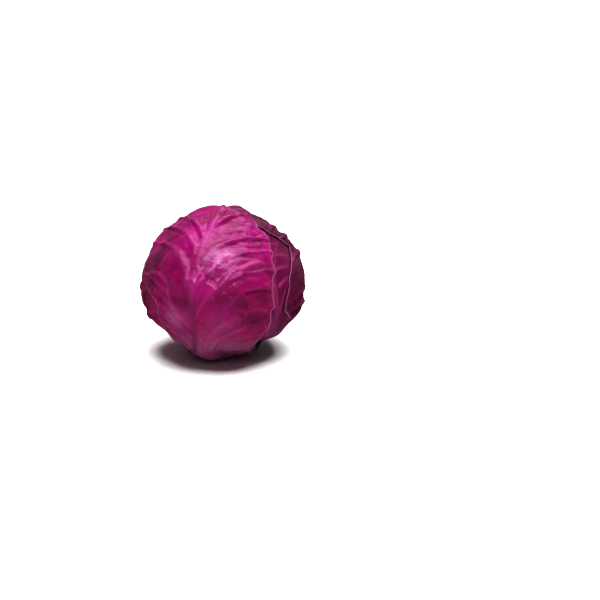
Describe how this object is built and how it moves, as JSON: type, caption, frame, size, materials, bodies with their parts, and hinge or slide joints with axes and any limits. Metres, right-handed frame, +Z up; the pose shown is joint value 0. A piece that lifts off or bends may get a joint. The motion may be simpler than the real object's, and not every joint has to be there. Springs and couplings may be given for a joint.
{
  "type": "cabbage head",
  "caption": "Whole red cabbage head: ribbed, waved wrapper leaves wound in a spiral round a tight inner head, standing on its short cut stem.",
  "frame": {"origin": "on the surface it stands on, at the middle of the stem's cut face", "axes": "+Z up along the stem, -Y towards the front of the outermost leaf, +X to the right of it"},
  "size_m": [0.15, 0.1521, 0.1366],
  "materials": {
    "red_leaf": "waxy leaf with a satin sheen and a pale bloom",
    "packed_leaf": "waxy leaf, out of sight",
    "stem_flesh": "moist cut stem, pale and matte"
  },
  "bodies": {
    "root": {"stem": "stem_flesh", "inner_head": "packed_leaf", "wrapper_leaf_1": "red_leaf", "wrapper_leaf_2": "red_leaf", "wrapper_leaf_3": "red_leaf", "wrapper_leaf_4": "red_leaf", "wrapper_leaf_5": "red_leaf", "wrapper_leaf_6": "red_leaf"}
  },
  "joints": []
}
